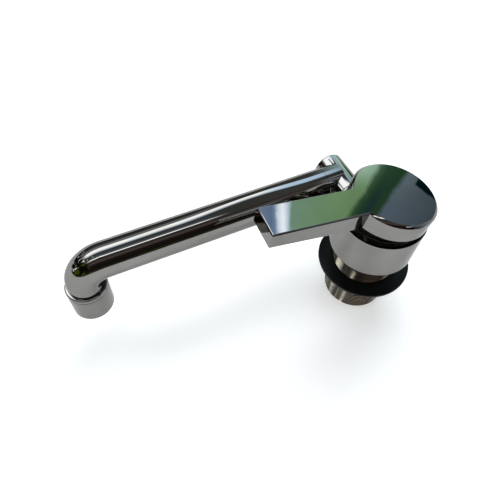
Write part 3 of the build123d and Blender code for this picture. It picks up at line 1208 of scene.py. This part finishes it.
@dataclass
class JetOutlet:
    """The screwed sleeve at the spout's end and the woven screen in it."""

    radius: float = 10.65 * MM
    top: float = -3.6 * MM
    bottom: float = -22.2 * MM
    bore: float = 9.22 * MM
    shoulder: float = 0.9 * MM
    shoulder_steps: int = 6
    groove: float = -5.9 * MM
    groove_depth: float = 0.22 * MM
    groove_floor: float = 0.088 * MM
    lip_radius: float = 7.9 * MM
    lip_height: float = 1.2 * MM
    lip_edge: float = 0.2 * MM
    foot_edge: float = 0.5 * MM
    foot_bulge: float = 0.15 * MM
    screen_radius: float = 7.55 * MM
    screen_low: float = -20.0 * MM
    screen_rim: float = 0.7 * MM
    screen_height: float = 0.6 * MM
    wire: float = 0.16 * MM
    wire_sides: int = 8
    wire_gap: float = 0.85 * MM
    wire_end: float = 0.1 * MM
    wire_rows: Point = (0.18 * MM, 0.42 * MM)

    def sleeve(self) -> Piece:
        """The sleeve with its rounded shoulder and fine groove, made about Z.

        Returns:
            The outlet sleeve.
        """
        radius, bottom, groove, depth = self.radius, self.bottom, self.groove, self.groove_depth
        seat = bottom + self.lip_height
        round_centre = (radius - self.shoulder, self.top - self.shoulder)
        profile = [
            (self.lip_radius, seat), (self.bore, seat), (self.bore, self.top),
            *arc(round_centre, self.shoulder, QUARTER, -QUARTER, self.shoulder_steps),
            (radius, groove + depth), (radius - depth, groove + self.groove_floor),
            (radius - depth, groove - self.groove_floor), (radius, groove - depth),
            (radius, bottom + self.foot_edge), (radius - self.foot_bulge, bottom + self.foot_bulge),
            (radius - self.foot_edge, bottom), (self.lip_radius + self.lip_edge, bottom),
            (self.lip_radius, bottom + self.lip_edge),
        ]
        sleeve = Bench.turn("outlet_sleeve", profile)
        Bench.smooth(sleeve)
        return sleeve

    def strand(self, offset: float, crossing: bool) -> Piece:
        """One wire of the screen.

        Args:
            offset: how far it lies from the middle.
            crossing: True lays it across the first row, a little higher.

        Returns:
            The wire.
        """
        length = 2 * (math.sqrt(self.screen_radius**2 - offset**2) - self.wire_end)
        Bench.clear()
        bpy.ops.mesh.primitive_cylinder_add(
            vertices=self.wire_sides, radius=self.wire, depth=length, rotation=(0, QUARTER, 0),
        )
        wire = Bench.name("wire")
        Bench.settle(wire, (0, offset, self.screen_low + self.wire_rows[crossing]))
        if crossing:
            Bench.settle(wire, turn=(0, 0, QUARTER))
        return wire

    def screen(self) -> Piece:
        """The woven screen: two crossed rows of fine wires in a thin rim.

        Returns:
            The screen.
        """
        count = int(self.screen_radius / self.wire_gap)
        offsets = [number * self.wire_gap for number in range(-count, count + 1)]
        wires = [self.strand(offset, crossing) for crossing in (False, True) for offset in offsets]
        outer, low = self.screen_radius, self.screen_low
        inner, high = outer - self.screen_rim, low + self.screen_height
        profile = [(inner, low), (outer, low), (outer, high), (inner, high)]
        rim = Bench.turn("outlet_screen_woven", profile, sides=96)
        Bench.hold(rim)
        for wire in wires:
            wire.select_set(True)
        bpy.ops.object.join()
        Bench.smooth(rim, 40, weigh=False)
        return rim

    def build(self, layout: Layout, finisher: Finisher) -> None:
        """Make the outlet's pieces under the spout's end and hand them over.

        Args:
            layout: the tap's main axes.
            finisher: the finishes.
        """
        place = (layout.spout_x, -layout.spout_reach, 0)
        for piece, slot, node in (
            (self.sleeve(), "chrome", "outlet_housing"),
            (self.screen(), "stainless", "outlet_screen"),
        ):
            Bench.settle(piece, place)
            finisher.hand_over(piece, "spout", slot, node)


# Bands of trees and sky from the +X horizon (0) over the top to the -X horizon (1).
OVER_THE_TAP = [
    (0.0, (0.010, 0.011, 0.006)), (0.05, (0.012, 0.013, 0.007)), (0.09, (0.005, 0.004, 0.003)),
    (0.24, (0.009, 0.007, 0.006)), (0.275, (0.045, 0.035, 0.03)), (0.32, (0.05, 0.042, 0.038)),
    (0.335, (0.02, 0.018, 0.017)), (0.400, (0.024, 0.024, 0.026)), (0.404, (0.95, 0.97, 1.0)),
    (0.424, (1.0, 1.0, 1.0)), (0.430, (0.10, 0.11, 0.12)), (0.50, (0.03, 0.035, 0.04)),
    (0.56, (0.03, 0.036, 0.042)), (0.585, (0.14, 0.19, 0.24)), (0.605, (0.50, 0.54, 0.58)),
    (0.665, (0.95, 0.98, 1.0)), (0.710, (0.90, 0.94, 0.98)), (0.722, (0.14, 0.145, 0.155)),
    (0.80, (0.12, 0.125, 0.13)), (0.825, (0.035, 0.034, 0.035)), (0.90, (0.022, 0.021, 0.020)),
    (0.95, (0.008, 0.007, 0.007)), (1.0, (0.006, 0.006, 0.006)),
]

# The yard behind the tap from +X (0) over +Y (0.5) towards -X (1), high up and low down: a pale wall,
# a dark tree, a green hedge and the sky.
WALL, TREE, LEAF, SKY = (0.072, 0.10, 0.135), (0.014, 0.042, 0.02), (0.13, 0.235, 0.125), (0.13, 0.18, 0.29)
DARK_CORNER = (0.015, 0.015, 0.013)
YARD_HIGH = [
    (0.20, (0.05, 0.06, 0.07)), (0.36, (0.22, 0.25, 0.29)), (0.43, (0.12, 0.14, 0.16)), (0.48, DARK_CORNER),
    (0.605, (0.012, 0.016, 0.022)), (0.632, (0.045, 0.065, 0.085)), (0.660, WALL),
    (0.6615, (0.03, 0.055, 0.045)), (0.663, TREE), (0.6675, TREE), (0.6700, (0.010, 0.020, 0.030)),
    (0.6720, (0.012, 0.026, 0.030)), (0.6740, (0.013, 0.040, 0.021)), (0.6795, TREE),
    (0.681, (0.12, 0.22, 0.11)), (0.70, LEAF), (0.7325, (0.15, 0.26, 0.20)), (0.7342, (0.47, 0.62, 0.82)),
    (0.7360, (1.0, 1.0, 1.0)), (0.7395, (0.78, 0.86, 1.0)), (0.7440, (0.47, 0.59, 0.77)),
    (0.7465, (0.09, 0.15, 0.265)), (0.758, SKY), (0.79, (0.22, 0.28, 0.38)), (0.90, (0.03, 0.03, 0.03)),
]
YARD_LOW = [
    (0.20, (0.03, 0.035, 0.04)), (0.36, (0.14, 0.16, 0.18)), (0.43, (0.09, 0.10, 0.12)), (0.48, DARK_CORNER),
    (0.60, (0.018, 0.02, 0.022)), (0.62, (0.03, 0.04, 0.05)), (0.645, (0.06, 0.085, 0.105)),
    (0.6612, (0.095, 0.13, 0.155)), (0.663, TREE), (0.6795, (0.02, 0.055, 0.03)), (0.681, (0.22, 0.37, 0.28)),
    (0.692, (0.36, 0.52, 0.46)), (0.72, (0.30, 0.45, 0.36)), (0.76, (0.2, 0.3, 0.3)),
]


class WorldNodes(Nodes):
    """The world's node tree, with sockets for a direction's parts and for noise by direction."""

    # The scale and the detail of each kind of noise, and the value that noise lies round.
    RAGGED = (4.0, 3.0)
    FINE = (22.0, 8.0)
    SPOTS = (9.0, 2.0)
    MIDDLE = 0.5

    def __init__(self, tree: bpy.types.NodeTree) -> None:
        """Add the nodes that read the direction.

        Args:
            tree: the world's node tree.
        """
        super().__init__(tree)
        direction = self.add("ShaderNodeTexCoord").outputs["Generated"]
        self.x, self.y, self.z = self.split(direction)
        self.ragged = self.math("SUBTRACT", self.noise(*self.RAGGED, direction), self.MIDDLE)
        self.fine = self.math("SUBTRACT", self.noise(*self.FINE, direction), self.MIDDLE)
        self.spots = self.noise(*self.SPOTS, direction)

    def turn(self, axis: Socket) -> Socket:
        """The direction's turn from +X towards another axis, as a share of half a turn."""
        return self.math("DIVIDE", self.math("ARCTAN2", axis, self.x), math.pi)

    def uneven(self, value: Socket, ragged: float, fine: float) -> Socket:
        """Make a value uneven.

        Args:
            value: its socket.
            ragged: how much of the broad noise it takes.
            fine: how much of the fine noise it takes.

        Returns:
            The result's socket.
        """
        broad = self.math("MULTIPLY", self.ragged, ragged)
        return self.math("ADD", value, broad, self.math("MULTIPLY", self.fine, fine))


@dataclass(frozen=True)
class Patch:
    """A patch over the bands, between two angles and towards the back of the yard.

    Each pair says where a soft edge starts and where it ends.
    """

    colour: Colour
    rise: Point
    fall: Point
    back: Point

    def share(self, nodes: WorldNodes, angle: Socket) -> Socket:
        """Where the patch covers the bands, from 0 to 1."""
        inside = nodes.between(angle, self.rise, self.fall)
        return nodes.math("MULTIPLY", inside, nodes.span(nodes.y, *self.back))


# An edge past every angle, for a patch that runs on to the horizon.
BEYOND = (2.0, 3.0)
GATE = Patch((0.030, 0.031, 0.028), (0.36, 0.39), (0.50, 0.56), (0.20, 0.28))
EAVES = Patch((0.030, 0.031, 0.028), (0.715, 0.735), BEYOND, (0.20, 0.28))
GAP_IN_TREES = Patch((0.55, 0.60, 0.66), (0.193, 0.198), (0.214, 0.219), (0.27, 0.28))
HAZE = Patch((0.38, 0.52, 0.70), (0.55, 0.585), (0.715, 0.735), (0.32, 0.41))


@dataclass
class Surroundings:
    """The sky and trees round a workshop yard, which the chrome mirrors.

    Colours go by direction. Its angle runs over the tap from +X and its bearing round the tap from
    +X towards +Y, both as shares of half a turn. Pairs say where a soft edge starts and where it ends.
    """

    sky: float = 4.2
    horizon: Point = (-0.03, 0.02)
    ground: Colour = (0.30, 0.29, 0.28)
    ground_edge: Colour = (0.02, 0.02, 0.02)
    white_strip: Point = (0.015, 0.03)
    behind: Point = (0.44, 0.52)
    # The bands lean over towards the back, and less so again at the very back.
    band_ragged: float = 0.035
    lean: float = 0.1
    lean_angles: Point = (0.50, 0.62)
    lean_start: Point = (0.16, 0.32)
    lean_end: Point = (0.345, 0.445)
    lean_loss: float = 0.8
    # In front of the tap it is dark, with leaves on its +X side and glints on its -X side.
    front: Point = (-0.74, -0.50)
    front_colour: Colour = (0.0025, 0.0025, 0.002)
    right: Point = (-0.05, 0.05)
    low_leaves: Point = (0.055, 0.075)
    leaf_edges: Point = (0.02, 0.05)
    leaf_colour: Colour = (0.030, 0.044, 0.004)
    glint_edges: Point = (0.62, 0.64)
    glint_front: Point = (-0.45, -0.30)
    glint_colour: Colour = (0.7, 0.72, 0.75)
    # The yard shifts a little higher up, and a trunk stands low down in front of its wall.
    yard_ragged: float = 0.012
    yard_fine: float = 0.008
    shift: float = 0.0235
    shift_heights: Point = (0.59, 0.70)
    height_fine: float = 0.02
    low_to_high: Point = (0.475, 0.55)
    trunk_top: Point = (0.480, 0.4835)
    trunk_start: Point = (0.56, 0.60)
    trunk_end: Point = (0.652, 0.6545)
    trunk_colour: Colour = (0.001, 0.006, 0.008)

    def build(self) -> None:
        """Set the world's colours by direction."""
        world = bpy.data.worlds.new("surroundings")
        world.use_nodes = True
        bpy.context.scene.world = world
        nodes = WorldNodes(world.node_tree)
        light = nodes.add("ShaderNodeBackground")
        nodes.link(light.outputs[0], nodes.add("ShaderNodeOutputWorld").inputs["Surface"])
        overhead = nodes.mix(nodes.span(nodes.y, *self.behind), self.bands(nodes), self.yard(nodes))
        above = nodes.span(nodes.z, *self.horizon)
        ground = nodes.ramp(above, [(0.0, self.ground), (1.0, self.ground_edge)])
        mirrored = nodes.mix(above, ground, overhead)
        white = nodes.flat((1 / self.sky,) * 3)
        nodes.link(nodes.mix(self.backdrop(nodes), mirrored, white), light.inputs["Color"])
        light.inputs["Strength"].default_value = self.sky

    def backdrop(self, nodes: WorldNodes) -> Socket:
        """Where a white backdrop hides the surroundings.

        The camera and glass see it everywhere above the floor. Polished metal sees it as a strip
        along the floor's far edge, and the yard above that.

        Args:
            nodes: the world's node tree.

        Returns:
            The share's socket.
        """
        path = nodes.add("ShaderNodeLightPath").outputs
        strip = nodes.rest(nodes.span(nodes.z, *self.white_strip))
        metal = nodes.math("MULTIPLY", path["Is Glossy Ray"], strip)
        return nodes.math("MAXIMUM", path["Is Camera Ray"], path["Is Transmission Ray"], metal)

    def leaning_angle(self, nodes: WorldNodes) -> Socket:
        """The angle over the tap, less what the bands lean over.

        Args:
            nodes: the world's node tree.

        Returns:
            The angle's socket.
        """
        angle = nodes.uneven(nodes.turn(nodes.z), self.band_ragged, 0.0)
        start, end = nodes.span(nodes.y, *self.lean_start), nodes.span(nodes.y, *self.lean_end)
        left = nodes.rest(nodes.math("MULTIPLY", end, self.lean_loss))
        lean = nodes.math("MULTIPLY", start, nodes.span(angle, *self.lean_angles), left, self.lean)
        return nodes.math("SUBTRACT", angle, lean)

    def bands(self, nodes: WorldNodes) -> Socket:
        """Bands of trees and sky over the tap, and the dark in front of it.

        Args:
            nodes: the world's node tree.

        Returns:
            The colour's socket.
        """
        angle = self.leaning_angle(nodes)
        front = nodes.rest(nodes.span(nodes.y, *self.front))
        right = nodes.span(nodes.x, *self.right)
        shrubs = nodes.math("MULTIPLY", right, front)
        shrubs = nodes.math("MAXIMUM", shrubs, nodes.rest(nodes.span(angle, *self.low_leaves)))
        leaves = nodes.math("MULTIPLY", nodes.span(nodes.ragged, *self.leaf_edges), shrubs)
        glints = nodes.math("MULTIPLY", nodes.span(nodes.spots, *self.glint_edges), nodes.rest(right))
        glints = nodes.math("MULTIPLY", glints, nodes.rest(nodes.span(nodes.y, *self.glint_front)))
        covers = [(patch.share(nodes, angle), patch.colour) for patch in (GATE, EAVES, GAP_IN_TREES, HAZE)]
        covers += [(front, self.front_colour), (leaves, self.leaf_colour), (glints, self.glint_colour)]
        colour = nodes.ramp(angle, OVER_THE_TAP)
        for share, cover in covers:
            colour = nodes.mix(share, colour, nodes.flat(cover))
        return colour

    def yard(self, nodes: WorldNodes) -> Socket:
        """The yard behind the tap, which the handle's flat top mirrors.

        Args:
            nodes: the world's node tree.

        Returns:
            The colour's socket.
        """
        shift = nodes.math("MULTIPLY", nodes.span(nodes.z, *self.shift_heights), self.shift)
        bearing = nodes.uneven(nodes.turn(nodes.y), self.yard_ragged, self.yard_fine)
        bearing = nodes.math("ADD", bearing, shift)
        height = nodes.uneven(nodes.z, 0.0, self.height_fine)
        high_up = nodes.span(height, *self.low_to_high)
        colour = nodes.mix(high_up, nodes.ramp(bearing, YARD_LOW), nodes.ramp(bearing, YARD_HIGH))
        below = nodes.rest(nodes.span(height, *self.trunk_top))
        trunk = nodes.math("MULTIPLY", below, nodes.between(bearing, self.trunk_start, self.trunk_end))
        return nodes.mix(trunk, colour, nodes.flat(self.trunk_colour))


@dataclass(frozen=True)
class Lamp:
    """A soft round lamp over the tap, which polished metal doesn't show. Power is in watts."""

    label: str
    place: Place
    power: float
    colour: Colour = (1.0, 1.0, 1.0)
    size: float = 1.2
    aim: Place = (0.0, -0.05, 0.0)

    def hang(self) -> None:
        """Hang the lamp and aim it."""
        data = bpy.data.lights.new(self.label, "AREA")
        data.shape = "DISK"
        data.size = self.size
        data.energy = self.power
        data.color = self.colour
        lamp = bpy.data.objects.new(self.label, data)
        bpy.context.collection.objects.link(lamp)
        lamp.location = self.place
        lamp.rotation_mode = "QUATERNION"
        lamp.rotation_quaternion = (Vector(self.aim) - Vector(self.place)).to_track_quat("-Z", "Y")
        lamp.visible_glossy = False


@dataclass
class Studio:
    """The pale floor, the soft light, what the chrome mirrors, and the camera.

    The focal length and the image's side are in pixels of the photograph.
    """

    focal: float = 467.93
    image: float = 480.0
    sensor: float = 36.0
    clip: Point = (0.01, 50.0)
    camera_place: Place = (0.09946, -0.13192, 0.20129)
    camera_right: Place = (0.42367, 0.90511, 0.03569)
    camera_up: Place = (-0.74488, 0.32571, 0.5823)
    camera_ahead: Place = (-0.51542, 0.27329, -0.81219)
    floor_size: float = 6.0
    floor_squares: int = 8
    floor_grain: float = 2.0
    floor_clouds: Stops = ((0.3, (0.79, 0.79, 0.79)), (0.7, (0.80, 0.80, 0.80)))
    floor_rough: float = 0.9
    floor_glow: float = 0.42
    lamps: tuple[Lamp, ...] = (
        Lamp("sky_lamp", (-0.8, 0.8, 1.3), 11.0),
        Lamp("fill_lamp", (0.9, -0.8, 1.2), 4.0, (1.0, 0.99, 0.97)),
    )

    def camera(self) -> None:
        """Set the camera where the photograph was taken from."""
        data = bpy.data.cameras.new("camera")
        data.sensor_width = self.sensor
        data.lens = self.focal / self.image * self.sensor
        data.clip_start, data.clip_end = self.clip
        camera = bpy.data.objects.new("camera", data)
        bpy.context.collection.objects.link(camera)
        axes = Matrix((self.camera_right, self.camera_up, -Vector(self.camera_ahead))).transposed()
        turn = axes.to_quaternion().to_matrix().to_4x4()
        camera.matrix_world = Matrix.Translation(Vector(self.camera_place)) @ turn
        bpy.context.scene.camera = camera

    def floor(self, layout: Layout) -> None:
        """Lay the pale floor under the shank; it shows white to the camera, to metal and to glass.

        Args:
            layout: the tap's main axes.
        """
        Bench.clear()
        squares = self.floor_squares
        bpy.ops.mesh.primitive_grid_add(
            x_subdivisions=squares, y_subdivisions=squares, size=self.floor_size,
            location=(0, 0, layout.shank_foot),
        )
        floor = Bench.name("floor")
        material = bpy.data.materials.new("pale_floor")
        material.use_nodes = True
        nodes = Nodes(material.node_tree)
        shader = nodes.surface()
        clouds = nodes.noise(self.floor_grain)
        nodes.link(nodes.ramp(clouds, self.floor_clouds), shader.inputs["Base Color"])
        shader.inputs["Roughness"].default_value = self.floor_rough
        shader.inputs["Emission Color"].default_value = (1.0, 1.0, 1.0, 1.0)
        path = nodes.add("ShaderNodeLightPath").outputs
        seen = (path["Is Camera Ray"], path["Is Glossy Ray"], path["Is Transmission Ray"])
        seen = nodes.math("MAXIMUM", *seen)
        nodes.link(nodes.math("MULTIPLY", seen, self.floor_glow), shader.inputs["Emission Strength"])
        dress(floor, material)

    def build(self, layout: Layout) -> None:
        """Set up the camera, the floor, the surroundings and the lamps.

        Args:
            layout: the tap's main axes.
        """
        bpy.context.scene.view_settings.view_transform = "Standard"
        self.camera()
        self.floor(layout)
        Surroundings().build()
        for lamp in self.lamps:
            lamp.hang()


def main() -> None:
    """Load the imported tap, build what shows, dress the rest and set the scene."""
    logging.basicConfig(level=logging.INFO, format="%(name)s: %(message)s")
    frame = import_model()
    layout = Layout()
    finisher = Finisher()
    PackedPieces().build(frame, finisher)
    for assembly in (TapBody(), ThreadedShank(), LeverHandle(), SwivelArm(), SpoutTube(), JetOutlet()):
        assembly.build(layout, finisher)
    Studio().build(layout)


if __name__ == "__main__":
    main()
